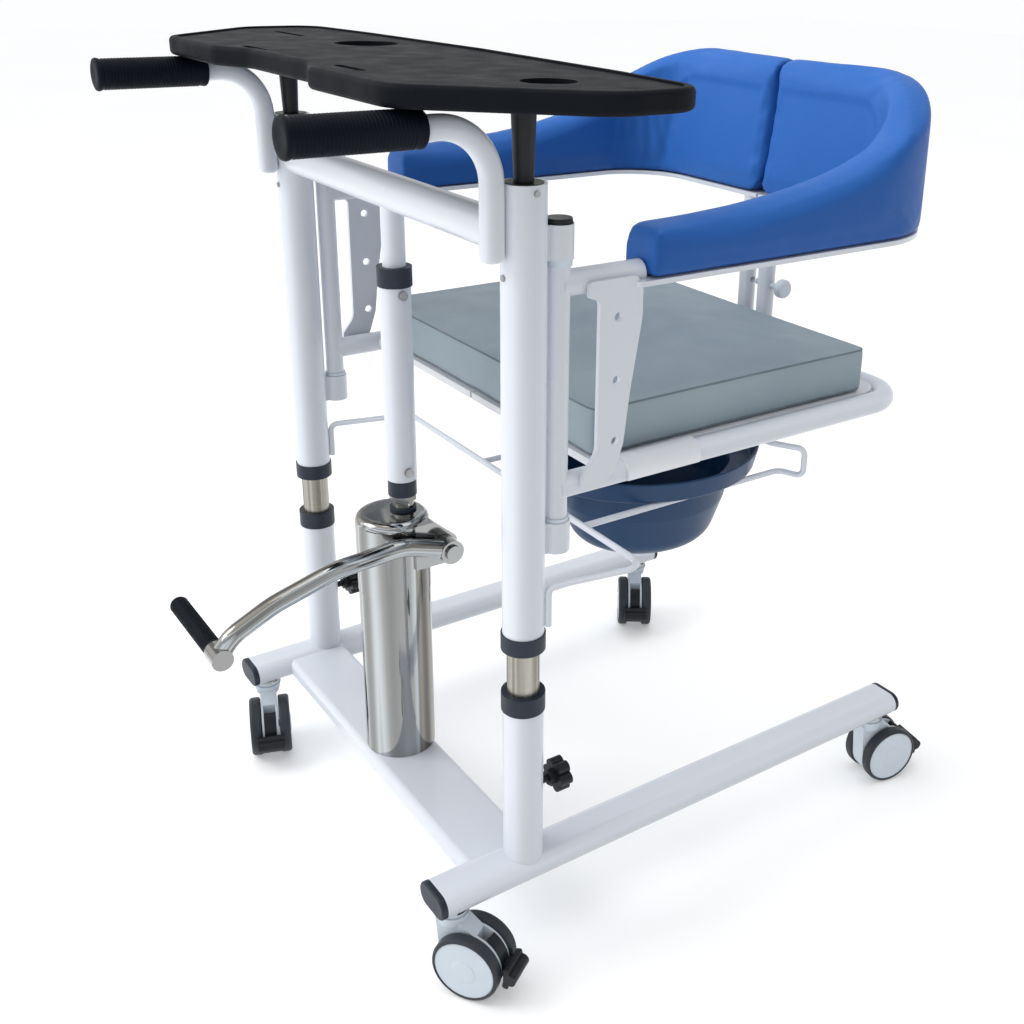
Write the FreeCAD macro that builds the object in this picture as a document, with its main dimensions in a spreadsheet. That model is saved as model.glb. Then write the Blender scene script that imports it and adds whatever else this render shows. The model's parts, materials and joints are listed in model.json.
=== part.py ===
import FreeCAD, Part
import math
import os
import re

V = FreeCAD.Vector
os.makedirs("parts", exist_ok=True)
doc = FreeCAD.newDocument("lift_chair")

# ---------------------------------------------------------------- dimensions (mm)
DIM = {
    # base frame
    "origin_y": 182.36, "floor_z": 11.5,
    "col_x": 255, "col_d": 42, "col_wall": 3, "sleeve_bore": 34, "guide_d": 33, "guide_bore": 28,
    "collar_d": 45, "rail_w": 50, "rail_ht": 27, "rail_wall": 2, "rail_z": 123.5,
    "rail_front": -104, "rail_rear": 556, "plug_t": 7, "plug_stub": 20,
    "beam_y": -60, "beam_w": 80, "beam_top": 134.5, "beam_ht": 23.5, "beam_wall": 3,
    "low_top": 334, "low_collar_z": 317, "guide_foot": 150, "guide_top": 660,
    "knob_z": 217, "knob_r": 18, "knob_t": 14, "stud_r": 4,
    # pump
    "pump_y": -14, "pump_r": 41, "jacket_top": 345, "head_r": 41.6, "head_top": 438.5,
    "neck_r": 15, "neck_top": 441.5, "ram_r": 12, "ram_foot": 145, "ram_bore": 12.05,
    "pivot_x": 55, "pivot_y": 27, "pivot_z": 402, "pivot_r": 6, "lever_r": 10, "grip_y": -240, "grip_z": 354,
    "foot_grip_r": 10.2, "foot_grip_x": -72, "foot_grip_len": 114,
    # lifting frame
    "up_foot": 390, "up_top": 847, "up_collar_z": 387, "up_collar_ht": 18, "bush_top": 440,
    "slide_bore": 33.1, "bar_z": 797, "bar_r": 19, "handle_r": 11, "handle_z": 898,
    "handle_foot": 780, "handle_y": -32.1, "handle_bend": 50, "grip_in": -97, "grip_out": -212,
    "hand_grip_r": 16.5, "push_r": 17, "push_foot": 476, "push_ring": 19, "nut_ht": 8,
    "push_joint": 698, "push_neck_r": 12.5,
    "hinge_y": 37, "socket_r": 14, "socket_ht": 32, "low_socket_z": 486, "top_socket_z": 776,
    "pin_r": 8, "pin_bore": 8.05, "hinge_r": 11,
    # tray
    "post_r": 9, "post_bore": 9.05, "post_foot": 765, "post_head_r": 11.5, "tray_z": 916,
    "tray_t": 19.5, "tray_half": 390, "tray_back": 114, "tray_front": -134,
    # seat
    "seat_z": 552, "seat_tube_r": 12.5, "seat_rear": 520, "seat_bend": 45, "arm_z": 752,
    "split": 2, "mast_x": 18, "mast_r": 11, "latch_z": 634, "plate_z": 743, "plate_t": 5,
    "bracket_t": 5, "board_z": 553, "board_t": 8, "cushion_half": 238, "cushion_front": 92,
    "cushion_rear": 478, "cushion_z": 561.6, "cushion_t": 52,
    "pad_z": 748.3, "pad_top": 915, "pad_round": 14, "crown_round": 8,
    # pan and rack
    "wire_r": 3.5, "rack_z": 470, "rack_front": 107, "pan_x": 100, "pan_y": 264, "pan_z": 474,
    # casters
    "wheel_r": 38, "wheel_w": 14.5, "wheel_gap": 18.75, "hub_r": 34, "trail": 24.5, "fork_r": 35.5,
    "fork_w": 21, "stem_r": 6, "axle_r": 4, "axle_bore": 4.05, "stem_front": -86, "stem_rear": 535,
}
sheet = doc.addObject("Spreadsheet::Sheet", "Dims")
for row, (alias, value) in enumerate(DIM.items(), start=1):
    sheet.set("A%d" % row, alias)
    sheet.set("B%d" % row, str(value))
    sheet.setAlias("B%d" % row, alias)
doc.recompute()

PARTS = []
TURN = {
    "z": FreeCAD.Rotation(),
    "x": FreeCAD.Rotation(V(0, 1, 0), 90),
    "y": FreeCAD.Rotation(V(1, 0, 0), -90),
}


D = DIM


def sheet_form(expression):
    """Write each sheet name inside an expression as Dims.name."""
    return re.sub(r"[A-Za-z_]\w*", lambda m: "Dims." + m.group(0), str(expression))


def bind(obj, prop, expression):
    """Drive one property from the sheet, or set it when it is a plain number."""
    if isinstance(expression, str):
        obj.setExpression(prop, sheet_form(expression))
        return
    names = prop.split(".")
    if len(names) == 1:
        setattr(obj, prop, expression)
        return
    base = obj.Placement.Base
    setattr(base, names[-1], expression)
    obj.Placement = FreeCAD.Placement(base, obj.Placement.Rotation)


def place(obj, at, turn="z"):
    """Place an object at three sheet expressions or numbers, lying along an axis."""
    rotation = TURN[turn] if isinstance(turn, str) else turn
    obj.Placement = FreeCAD.Placement(V(0, 0, 0), rotation)
    for letter, expression in zip("xyz", at):
        bind(obj, "Placement.Base." + letter, expression)
    return obj


def cyl(name, radius, height, at=(0, 0, 0), axis="z"):
    obj = doc.addObject("Part::Cylinder", name)
    bind(obj, "Radius", radius)
    bind(obj, "Height", height)
    return place(obj, at, axis)


def cone(name, r1, r2, height, at=(0, 0, 0), axis="z"):
    obj = doc.addObject("Part::Cone", name)
    bind(obj, "Radius1", r1)
    bind(obj, "Radius2", r2)
    bind(obj, "Height", height)
    return place(obj, at, axis)


def box(name, length, width, height, at=(0, 0, 0)):
    obj = doc.addObject("Part::Box", name)
    bind(obj, "Length", length)
    bind(obj, "Width", width)
    bind(obj, "Height", height)
    return place(obj, at)


def fuse(name, *shapes):
    obj = doc.addObject("Part::MultiFuse", name)
    obj.Shapes = list(shapes)
    obj.Refine = True
    return obj


def cut(name, base, *tools):
    obj = doc.addObject("Part::Cut", name)
    obj.Base = base
    obj.Tool = tools[0] if len(tools) == 1 else fuse(name + "_tools", *tools)
    obj.Refine = True
    return obj


def common(name, *shapes):
    obj = doc.addObject("Part::MultiCommon", name)
    obj.Shapes = list(shapes)
    return obj


def group(name, *shapes):
    obj = doc.addObject("Part::Compound", name)
    obj.Links = list(shapes)
    return obj


def mirror(name, source, normal=(1, 0, 0)):
    obj = doc.addObject("Part::Mirroring", name)
    obj.Source = source
    obj.Base = V(0, 0, 0)
    obj.Normal = V(*normal)
    return obj


def solid(name, shape):
    obj = doc.addObject("Part::Feature", name)
    obj.Shape = shape
    return obj


def rounded(name, base, radius, pick):
    """Round the edges of a base object that satisfy pick(edge)."""
    doc.recompute()
    obj = doc.addObject("Part::Fillet", name)
    obj.Base = base
    obj.Edges = [(i, radius, radius) for i, e in enumerate(base.Shape.Edges, start=1) if pick(e)]
    return obj


def keep(obj, label):
    """Register an object as a sub-part under its node name, set in the floor-centre frame."""
    part = group("part_" + label, obj)
    part.Label = label
    part.setExpression("Placement.Base.y", "-Dims.origin_y")
    part.setExpression("Placement.Base.z", "-Dims.floor_z")
    PARTS.append(part)


def along(edge, axis, tolerance=1e-4):
    """True for a straight edge parallel to an axis."""
    if edge.Curve.TypeId != "Part::GeomLine":
        return False
    direction = edge.Vertexes[1].Point - edge.Vertexes[0].Point
    direction.normalize()
    return abs(abs(direction.dot(V(*axis))) - 1) < tolerance


def rounded_wire(points, radii, closed=False):
    """Polyline through points with each inner corner replaced by an arc."""
    pts = [V(*p) for p in points]
    count = len(pts)
    corners = range(count) if closed else range(1, count - 1)
    entry = {i: (pts[i], pts[i]) for i in range(count)}
    arcs = {}
    for i in corners:
        before = (pts[i - 1] - pts[i]).normalize()
        after = (pts[(i + 1) % count] - pts[i]).normalize()
        angle = before.getAngle(after)
        radius = radii if isinstance(radii, (int, float)) else radii[i]
        if radius <= 0 or abs(angle - math.pi) < 1e-3:
            continue
        reach = radius / math.tan(angle / 2)
        first = pts[i] + before * reach
        last = pts[i] + after * reach
        centre = pts[i] + (before + after).normalize() * (radius / math.sin(angle / 2))
        middle = centre + (pts[i] - centre).normalize() * radius
        entry[i] = (first, last)
        arcs[i] = Part.Arc(first, middle, last).toShape()
    edges = []
    for i in range(count if closed else count - 1):
        if i in arcs:
            edges.append(arcs[i])
        start = entry[i][1]
        end = entry[(i + 1) % count][0]
        if (end - start).Length > 1e-6:
            edges.append(Part.makeLine(start, end))
    return Part.Wire(Part.__sortEdges__(edges))


def rod(name, points, radii, radius):
    """Round bar swept along a bent centre line."""
    spine = solid(name + "_line", rounded_wire(points, radii))
    profile = doc.addObject("Part::Circle", name + "_ring")
    bind(profile, "Radius", radius)
    start = V(*points[0])
    heading = V(*points[1]) - start
    profile.Placement = FreeCAD.Placement(start, FreeCAD.Rotation(V(0, 0, 1), heading))
    doc.recompute()
    obj = doc.addObject("Part::Sweep", name)
    obj.Sections = [profile]
    obj.Spine = (spine, ["Edge%d" % (i + 1) for i in range(len(spine.Shape.Edges))])
    obj.Solid = True
    obj.Frenet = False
    return obj


def plate(name, points, thickness, radii=0, shift=(0, 0, 0)):
    """Flat plate from a closed outline of 3-D points, thickened along a vector."""
    face = Part.Face(rounded_wire(points, radii, closed=True))
    obj = doc.addObject("Part::Extrusion", name)
    obj.Base = solid(name + "_outline", face)
    obj.DirMode = "Custom"
    direction = V(*thickness)
    obj.LengthFwd = direction.Length
    obj.Dir = direction.normalize()
    obj.Solid = True
    obj.Placement = FreeCAD.Placement(V(*shift), FreeCAD.Rotation())
    return obj


def oval_bar(name, width, height, length, at):
    """Flat-oval bar lying along Y; at is the centre of its front face."""
    x, y, z = at
    half = "(%s)/2" % height
    side = "((%s)-(%s))/2" % (width, height)
    core = box(name + "_core", "(%s)-(%s)" % (width, height), length, height,
               ("%s-%s" % (x, side), y, "%s-%s" % (z, half)))
    left = cyl(name + "_l", half, length, ("%s-%s" % (x, side), y, z), "y")
    right = cyl(name + "_r", half, length, ("%s+%s" % (x, side), y, z), "y")
    return fuse(name, core, left, right)


SIDES = (("left", -1), ("right", 1))

# ---------------------------------------------------------------- base frame
rails = []
columns = []
sleeves = []
collars = []
guides = []
plugs = []
stems = []
for side, sign in SIDES:
    x = "%d*col_x" % sign
    length = "rail_rear-rail_front"
    outer = oval_bar("rail_out_" + side, "rail_w", "rail_ht", length, (x, "rail_front", "rail_z"))
    inner = oval_bar("rail_in_" + side, "rail_w-2*rail_wall", "rail_ht-2*rail_wall", length,
                     (x, "rail_front", "rail_z"))
    rails.append(cut("rail_" + side, outer, inner))
    blank = cyl("sleeve_out_" + side, "col_d/2", "low_top-rail_z", (x, 0, "rail_z"))
    bore = cyl("sleeve_in_" + side, "sleeve_bore/2", "low_top-rail_z", (x, 0, "rail_z"))
    stud_hole = cyl("stud_hole_" + side, "stud_r+0.1", "col_d/2+2", (x, 0, "knob_z"), "y")
    saddle = oval_bar("saddle_" + side, "rail_w", "rail_ht", length, (x, "rail_front", "rail_z"))
    sleeves.append(cut("sleeve_" + side, blank, bore, stud_hole, saddle))
    ring = cyl("low_ring_" + side, "collar_d/2", "low_top+3-low_collar_z", (x, 0, "low_collar_z"))
    ring_seat = cyl("low_seat_" + side, "col_d/2", "low_top-low_collar_z", (x, 0, "low_collar_z"))
    ring_bore = cyl("low_bore_" + side, "guide_d/2", 40, (x, 0, "low_collar_z"))
    collars.append(cut("low_collar_" + side, ring, ring_seat, ring_bore))
    guide = cyl("guide_out_" + side, "guide_d/2", "guide_top-guide_foot", (x, 0, "guide_foot"))
    guide_bore = cyl("guide_in_" + side, "guide_bore/2", "guide_top-guide_foot", (x, 0, "guide_foot"))
    dimple = cyl("guide_dimple_" + side, "stud_r+0.1", 30, (x, 0, "knob_z"), "y")
    guides.append(cut("guide_" + side, guide, guide_bore, dimple))
    for end, sense in (("front", -1), ("rear", 1)):
        face = "rail_front" if sense < 0 else "rail_rear"
        cap_y = face + "-plug_t" if sense < 0 else face
        stub_y = face if sense < 0 else face + "-plug_stub"
        cap = oval_bar("cap_%s_%s" % (end, side), "rail_w", "rail_ht", "plug_t", (x, cap_y, "rail_z"))
        stub = oval_bar("stub_%s_%s" % (end, side), "rail_w-2*rail_wall", "rail_ht-2*rail_wall",
                        "plug_stub", (x, stub_y, "rail_z"))
        outer_y = D[face] + sense * D["plug_t"]
        cap = rounded("cap_round_%s_%s" % (end, side), cap, 2.5,
                      lambda e: e.BoundBox.YLength < 0.01 and abs(e.BoundBox.YMin - outer_y) < 0.01)
        plugs.append(fuse("plug_%s_%s" % (end, side), cap, stub))
        stem_y = "stem_front" if sense < 0 else "stem_rear"
        flange = cyl("flange_%s_%s" % (end, side), 17, 3, (x, stem_y, "rail_z-rail_ht/2-3"))
        spigot = cyl("spigot_%s_%s" % (end, side), "stem_r", 20, (x, stem_y, "rail_z-rail_ht/2-22"))
        stems.append(fuse("stem_%s_%s" % (end, side), flange, spigot))
keep(group("rails", *rails), "base_rails")
keep(group("sleeves", *sleeves), "lower_columns")
keep(group("low_collars", *collars), "lower_collars")
keep(group("guides", *guides), "guide_tubes")
keep(group("plugs", *plugs), "rail_plugs")
keep(group("stems", *stems), "caster_stems")

beam_box = box("beam_box", "2*col_x", "beam_w", "beam_ht", ("-col_x", "beam_y", "beam_top-beam_ht"))
beam_round = rounded("beam_round", beam_box, 8, lambda e: along(e, (1, 0, 0)))
beam_room = box("beam_room", "2*col_x-70", "beam_w-2*beam_wall-8", "beam_ht-2*beam_wall",
                ("-col_x+35", "beam_y+beam_wall+4", "beam_top-beam_ht+beam_wall"))
beam_ends = [oval_bar("beam_end_" + side, "rail_w", "rail_ht", "rail_rear-rail_front",
                      ("%d*col_x" % sign, "rail_front", "rail_z")) for side, sign in SIDES]
beam_ends += [cyl("beam_col_" + side, "col_d/2", 30, ("%d*col_x" % sign, 0, "beam_top-20"))
              for side, sign in SIDES]
keep(cut("beam", beam_round, beam_room, *beam_ends), "cross_beam")

# ---------------------------------------------------------------- hydraulic pump
jacket = cut("jacket", cyl("jacket_out", "pump_r", "jacket_top-beam_top", (0, "pump_y", "beam_top")),
             cyl("jacket_in", "pump_r-2", "jacket_top-beam_top", (0, "pump_y", "beam_top")))
barrel = cut("barrel", cyl("barrel_out", 24, "jacket_top-beam_top", (0, 0, "beam_top")),
             cyl("barrel_in", "ram_bore", "jacket_top-beam_top", (0, 0, "beam_top+6")))
keep(group("pump_case", jacket, barrel), "pump_body")

head_lump = cyl("head_lump", "head_r", "head_top-jacket_top", (0, "pump_y", "jacket_top"))
head_round = rounded("head_round", head_lump, 10,
                     lambda e: e.Curve.TypeId == "Part::GeomCircle" and e.BoundBox.ZMin > D["head_top"] - 1)
neck = cyl("neck", "neck_r", "neck_top-head_top+6", (0, 0, "head_top-6"))
ear_line = [(12, -8, 380), (12, -8, 434), (12, 16, 434), (12, 44, 410), (12, 44, 390), (12, 30, 380)]
ear = plate("ear", ear_line, (D["pivot_x"] - 10.5 - 12, 0, 0), [0, 0, 6, 10, 10, 4])
pin = cyl("pivot_pin", "pivot_r", "pivot_x+14-20", (20, "pivot_y", "pivot_z"), "x")
pin_head = cyl("pivot_head", "pivot_r+3", 3, ("pivot_x+11", "pivot_y", "pivot_z"), "x")
head_bore = cyl("head_bore", "ram_bore", 120, (0, 0, "jacket_top-2"))
keep(cut("head", fuse("head_mass", head_round, neck, ear, pin, pin_head), head_bore), "pump_head")

px = D["pivot_x"]
lever_line = [(px, 27, 402), (px, -30, 420), (px, -110, 414), (px, -180, 394), (px, -225, 372),
              (px, D["grip_y"], D["grip_z"])]
lever_arm = rod("lever_arm", lever_line, [0, 60, 120, 120, 40, 0], "lever_r")
boss = cyl("lever_boss", 14, 20, ("pivot_x-9.5", "pivot_y", "pivot_z"), "x")
foot_boss = cyl("foot_boss", 11.5, 24, ("pivot_x-12", "grip_y", "grip_z"), "x")
foot_rod = cyl("foot_rod", 6, "pivot_x-foot_grip_x-6", ("foot_grip_x+6", "grip_y", "grip_z"), "x")
boss_bore = cyl("boss_bore", "pivot_r+0.05", 30, ("pivot_x-15", "pivot_y", "pivot_z"), "x")
keep(cut("lever", fuse("lever_mass", lever_arm, boss, foot_boss, foot_rod), boss_bore), "pedal_lever")
grip_blank = cyl("foot_grip_out", "foot_grip_r", "foot_grip_len", ("foot_grip_x", "grip_y", "grip_z"), "x")
grip_out = rounded("foot_grip_round", grip_blank, 4, lambda e: e.Curve.TypeId == "Part::GeomCircle")
grip_bore = cyl("foot_grip_in", 6, 140, ("foot_grip_x+6", "grip_y", "grip_z"), "x")
keep(cut("foot_grip", grip_out, grip_bore), "pedal_grip")

# ---------------------------------------------------------------- lock knobs
for side, sign in SIDES:
    x = "%d*col_x" % sign
    lobes = [cyl("lobe_%s_%d" % (side, i), 6.5, "knob_t",
                 ("%s+%.3f" % (x, 11.5 * math.cos(i * math.pi / 3)), 37,
                  "knob_z+%.3f" % (11.5 * math.sin(i * math.pi / 3))), "y") for i in range(6)]
    core = cyl("knob_core_" + side, 13, "knob_t", (x, 37, "knob_z"), "y")
    collar = cyl("knob_collar_" + side, 8, 8, (x, 30, "knob_z"), "y")
    stud = cyl("knob_stud_" + side, "stud_r", 24, (x, "guide_d/2+0.4", "knob_z"), "y")
    keep(fuse("knob_" + side, core, collar, stud, *lobes), "lock_knob_" + side)

# ---------------------------------------------------------------- lifting frame
uppers = []
up_collars = []
handles = []
grips = []
sockets = []
caps = []
screws = []
column_x = {side: "%d*col_x" % sign for side, sign in SIDES}
for side, sign in SIDES:
    x = column_x[side]
    blank = cyl("upper_out_" + side, "col_d/2", "up_top-up_foot", (x, 0, "up_foot"))
    bore = cyl("upper_in_" + side, "col_d/2-col_wall", "up_top-up_foot", (x, 0, "up_foot"))
    uppers.append(cut("upper_" + side, blank, bore))
    ring = cyl("up_ring_" + side, "collar_d/2", "up_collar_ht", (x, 0, "up_collar_z"))
    liner = cyl("up_liner_" + side, "col_d/2-col_wall", "bush_top-up_collar_z", (x, 0, "up_collar_z"))
    seat = cut("up_seat_" + side, cyl("up_seat_out_" + side, "col_d/2", 30, (x, 0, "up_foot")),
               cyl("up_seat_in_" + side, "col_d/2-col_wall", 30, (x, 0, "up_foot")))
    slide = cyl("up_slide_" + side, "slide_bore/2", 80, (x, 0, "up_collar_z"))
    up_collars.append(cut("up_collar_" + side, fuse("up_mass_" + side, ring, liner), seat, slide))
    sx = sign * D["col_x"]
    hy = D["handle_y"]
    hz = D["handle_z"]
    line = [(sx, hy, D["handle_foot"]), (sx, hy, hz), (sx, D["grip_out"] + 4, hz)]
    handles.append(rounded("handle_" + side, rod("handle_rod_" + side, line, D["handle_bend"], "handle_r"), 6,
                           lambda e: e.Curve.TypeId == "Part::GeomCircle"
                           and e.BoundBox.ZMax < D["handle_foot"] + 0.1))
    sleeve = cyl("grip_sleeve_" + side, "hand_grip_r", "grip_in-grip_out", (x, "grip_out", "handle_z"), "y")
    flange = cyl("grip_flange_" + side, "hand_grip_r+1", 5, (x, "grip_out-4", "handle_z"), "y")
    flange_round = rounded("grip_end_" + side, flange, 2, lambda e: e.Curve.TypeId == "Part::GeomCircle")
    hollow = cyl("grip_hollow_" + side, "handle_r", "grip_in-grip_out-4", (x, "grip_out+4", "handle_z"), "y")
    grips.append(cut("grip_" + side, fuse("grip_mass_" + side, sleeve, flange_round), hollow))
    for level in ("low", "top"):
        z = level + "_socket_z"
        barrel = cyl("socket_%s_%s" % (level, side), "socket_r", "socket_ht", (x, "hinge_y", z))
        web = box("web_%s_%s" % (level, side), 12, 20, "socket_ht", (x + "-6", 14, z))
        shaft = cyl("socket_bore_%s_%s" % (level, side), "pin_bore", "socket_ht", (x, "hinge_y", z))
        column = cyl("socket_col_%s_%s" % (level, side), "col_d/2", "socket_ht", (x, 0, z))
        socket_mass = fuse("socket_mass_%s_%s" % (level, side), barrel, web)
        sockets.append(cut("hinge_%s_%s" % (level, side), socket_mass, shaft, column))
    top = "top_socket_z+socket_ht"
    lid = cone("hinge_lid_" + side, 13, 12, 5, (x, "hinge_y", top))
    lid_stub = cyl("hinge_stub_" + side, 7.9, 8, (x, "hinge_y", top + "-8"))
    caps.append(fuse("hinge_cap_" + side, lid, lid_stub))
    bush = cyl("tray_bush_" + side, "col_d/2-col_wall", 28, (x, 0, "up_top-27.5"))
    bush_bore = cyl("tray_bush_bore_" + side, "post_bore", 40, (x, 0, "up_top-30"))
    caps.append(cut("tray_bush_cut_" + side, bush, bush_bore))
    outward = "x" if sign > 0 else FreeCAD.Rotation(V(0, 1, 0), -90)
    screws.append(cyl("post_screw_" + side, 2.8, 1.6, ("%s+%d*col_d/2" % (x, sign), 0, 840), outward))
    screws.append(cyl("front_screw_" + side, 3, 1.4, (x, "-col_d/2", 765), FreeCAD.Rotation(V(1, 0, 0), 90)))
keep(group("uppers", *uppers), "upper_columns")
keep(group("up_collars", *up_collars), "upper_collars")
keep(group("handles", *handles), "handle_tubes")
keep(group("grips", *grips), "handle_grips")
keep(group("sockets", *sockets), "hinge_sockets")
keep(group("caps", *caps), "tube_caps")

bar = cyl("bar_blank", "bar_r", "2*col_x", ("-col_x", 0, "bar_z"), "x")
bar_ends = [cyl("bar_end_" + side, "col_d/2", 60, (column_x[side], 0, "bar_z-30")) for side, _ in SIDES]
keep(cut("bar", bar, *bar_ends), "crossbar")

push_low = cut("push_low", cyl("push_low_out", "push_r", "push_joint-push_foot", (0, 0, "push_foot")),
               cyl("push_low_in", "push_r-3", "push_joint-push_foot", (0, 0, "push_foot")))
neck_foot = (0, 0, "push_joint-40")
push_high = cut("push_high", cyl("push_high_out", "push_neck_r", "bar_z-push_joint+40", neck_foot),
                cyl("push_high_in", "push_neck_r-2.5", "bar_z-push_joint+40", neck_foot),
                cyl("push_saddle", "bar_r", 80, (-40, 0, "bar_z"), "x"))
keep(group("push", push_low, push_high), "push_tube")
top_collar = cut("push_top", cyl("push_top_out", "push_r+1.8", 21, (0, 0, "push_joint")),
                 cyl("push_top_in", "push_neck_r", 21, (0, 0, "push_joint")))
foot_collar = cyl("push_foot_ring", "push_r-0.8", "push_ring", (0, 0, "push_foot-push_ring"))
keep(group("push_rings", top_collar, foot_collar), "push_collars")
ram = cyl("ram", "ram_r", "push_foot-push_ring-ram_foot", (0, 0, "ram_foot"))
nut = doc.addObject("Part::Prism", "nut")
nut.Polygon = 6
nut.Circumradius = 15
bind(nut, "Height", "nut_ht")
place(nut, (0, 0, "push_foot-push_ring-nut_ht"))
keep(fuse("ram_rod", ram, nut), "piston_rod")
for z, reach in ((690, "push_r"), (488, "push_r")):
    for tag, turn, sign in (("a", "x", 1), ("b", FreeCAD.Rotation(V(0, 1, 0), -90), -1)):
        screws.append(cyl("push_bolt_%s_%d" % (tag, z), 5, 3.5, ("%d*%s" % (sign, reach), 0, z), turn))
keep(group("screws", *screws), "carriage_screws")

rz = D["rack_z"]
hanger = [(-246.4, 23, 412), (-246.4, 23, 454), (-186, D["rack_front"], rz), (309, D["rack_front"], rz),
          (270, 19.6, 455), (270, 19.6, 412)]
rail_line = [(203, D["rack_front"], rz), (203, 384, rz), (232, 396, rz), (232, 396, 504), (200, 372, 506),
             (0, 372, 506), (-32, 396, 504), (-32, 396, rz), (-3, 384, rz), (-3, D["rack_front"], rz)]
wire_a = rod("rack_hanger", hanger, [0, 10, 12, 12, 10, 0], "wire_r")
wire_b = rod("rack_rails", rail_line, [0, 14, 9, 9, 14, 14, 9, 9, 14, 0], "wire_r")
keep(fuse("rack", wire_a, wire_b), "pan_rack")

# ---------------------------------------------------------------- commode pan
pan_profile = [(0, -102), (52, -102), (86, -86), (102, -40), (108, -2), (136, -2), (142, 22), (138.5, 22),
               (133, 2), (107, 2), (104.5, -2), (98.5, -40), (83.5, -82), (50, -98), (0, -98)]
pan_radii = [0, 30, 30, 0, 0, 3, 1.6, 1.6, 4, 2, 0, 0, 27, 27, 0]
pan_face = Part.Face(rounded_wire([(r, 0, z) for r, z in pan_profile], pan_radii, closed=True))
pan_round = pan_face.revolve(V(0, 0, 0), V(0, 0, 1), 360)
squeeze = FreeCAD.Matrix()
squeeze.scale(0.887, 1, 1)
pan = solid("pan", pan_round.transformGeometry(squeeze))
keep(place(pan, ("pan_x", "pan_y", "pan_z+2.3")), "commode_pan")

# ---------------------------------------------------------------- tray
half = D["tray_half"]
back = D["tray_back"]
front = D["tray_front"]
tray_half_line = [(72, front + 20), (120, front), (268, front), (half, 0), (half, back - 22), (250, back - 9)]
tray_radii = [30, 24, 50, 60, 40, 300]
tray_points = tray_half_line + [(0, back)] + [(-x, y) for x, y in reversed(tray_half_line)]
tray_all_radii = tray_radii + [400] + tray_radii[::-1]
tray_wire = rounded_wire([(x, y, 0) for x, y in tray_points], tray_all_radii, closed=True)
slab = Part.Face(tray_wire).extrude(V(0, 0, D["tray_t"]))
rim_edges = [e for e in slab.Edges if e.BoundBox.ZMax < 0.01 or e.BoundBox.ZMin > D["tray_t"] - 0.01]
slab_round = solid("tray_slab", slab.makeFillet(5, rim_edges))
field_wire = tray_wire.makeOffset2D(-9)
field = solid("tray_field", Part.Face(field_wire).extrude(V(0, 0, 5)))
place(field, (0, 0, "tray_t-2"))
cup_a = cyl("cup_a", 34, 12, (-120, 36, "tray_t-9"))
cup_b = cyl("cup_b", 24, 12, (285, 5, "tray_t-6"))
slots = []
for i, (x0, y0, long) in enumerate(((-130, -100, 55), (95, -100, 55), (-320, 10, 80))):
    pts = [(x0, y0, 0), (x0 + long, y0, 0), (x0 + long, y0 + 9, 0), (x0, y0 + 9, 0)]
    slots.append(plate("pen_slot_%d" % i, pts, (0, 0, 8), 4.4, (0, 0, D["tray_t"] - 6)))
tray_cut = cut("tray_cut", slab_round, field, cup_a, cup_b, *slots)
keep(place(tray_cut, (0, 0, "tray_z")), "tray_top")
posts = []
for side, _ in SIDES:
    shank = cyl("post_" + side, "post_r", "up_top+4-post_foot", (column_x[side], 0, "post_foot"))
    taper = cone("post_taper_" + side, "post_r", "post_head_r", "tray_z-up_top-4",
                 (column_x[side], 0, "up_top+4"))
    posts.append(fuse("tray_post_" + side, shank, taper))
keep(group("posts", *posts), "tray_posts")

# ---------------------------------------------------------------- cushion
cushion = box("cushion_block", "2*cushion_half", "cushion_rear-cushion_front", "cushion_t",
              ("-cushion_half", "cushion_front", "cushion_z"))
cushion_a = rounded("cushion_corners", cushion, 12, lambda e: along(e, (0, 0, 1)))
cushion_b = rounded("cushion_edges", cushion_a, 5, lambda e: e.BoundBox.ZLength < 0.01)
keep(cushion_b, "seat_cushion")

# ---------------------------------------------------------------- one swinging half of the seat
hx = D["col_x"]
hy = D["hinge_y"]
knuckle = cyl("knuckle", "hinge_r", "top_socket_z-low_socket_z-socket_ht-0.6",
              ("col_x", "hinge_y", "low_socket_z+socket_ht+0.3"))
ring_low = cyl("knuckle_low", "hinge_r+1.6", 3.5, ("col_x", "hinge_y", "low_socket_z+socket_ht+0.3"))
ring_top = cyl("knuckle_top", "hinge_r+1.6", 6, ("col_x", "hinge_y", "top_socket_z-6.3"))
spindle = cyl("spindle", "pin_r", "top_socket_z-low_socket_z+socket_ht-12",
              ("col_x", "hinge_y", "low_socket_z+2"))
hinge_right = fuse("hinge_mass", knuckle, ring_low, ring_top, spindle)


def knuckle_hole(name):
    """Round tool the size of the hinge tube, for ends that meet it."""
    return cyl(name, "hinge_r", 400, ("col_x", "hinge_y", 450))


split = D["split"]
pad_outer = 279
pad_inner = 227
pad_back = 570
pad_face = 508


def u_plan(inset, start, z):
    """Closed plan of half the horseshoe: arm, rounded corner and half the back."""
    outer = pad_outer - inset
    inner = pad_inner + inset
    rear = pad_back - inset
    face = pad_face + inset
    return [(inner, start, z), (outer, start, z), (outer, rear, z), (split, rear, z), (split, face, z),
            (inner, face, z)]


def lean_plan(start, z):
    """The same outline at the top, where the back pad has leant backwards and grown thin."""
    return [(pad_inner + 6, start, z), (pad_outer, start, z), (pad_outer, pad_back, z), (split, pad_back, z),
            (split, pad_face + 24, z), (pad_inner + 6, pad_face + 24, z)]


def pad_edge(edge):
    """True for the upper and front edges of the pad, which are moulded round."""
    bounds = edge.BoundBox
    return bounds.ZMin > D["pad_z"] + 40 and bounds.XMax > split + 1


def crown_edge(edge):
    """True for the long edges where the falling crown meets the pad's faces."""
    bounds = edge.BoundBox
    return bounds.XLength > 60 and bounds.ZMax > 850 and bounds.ZLength > 20


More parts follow.
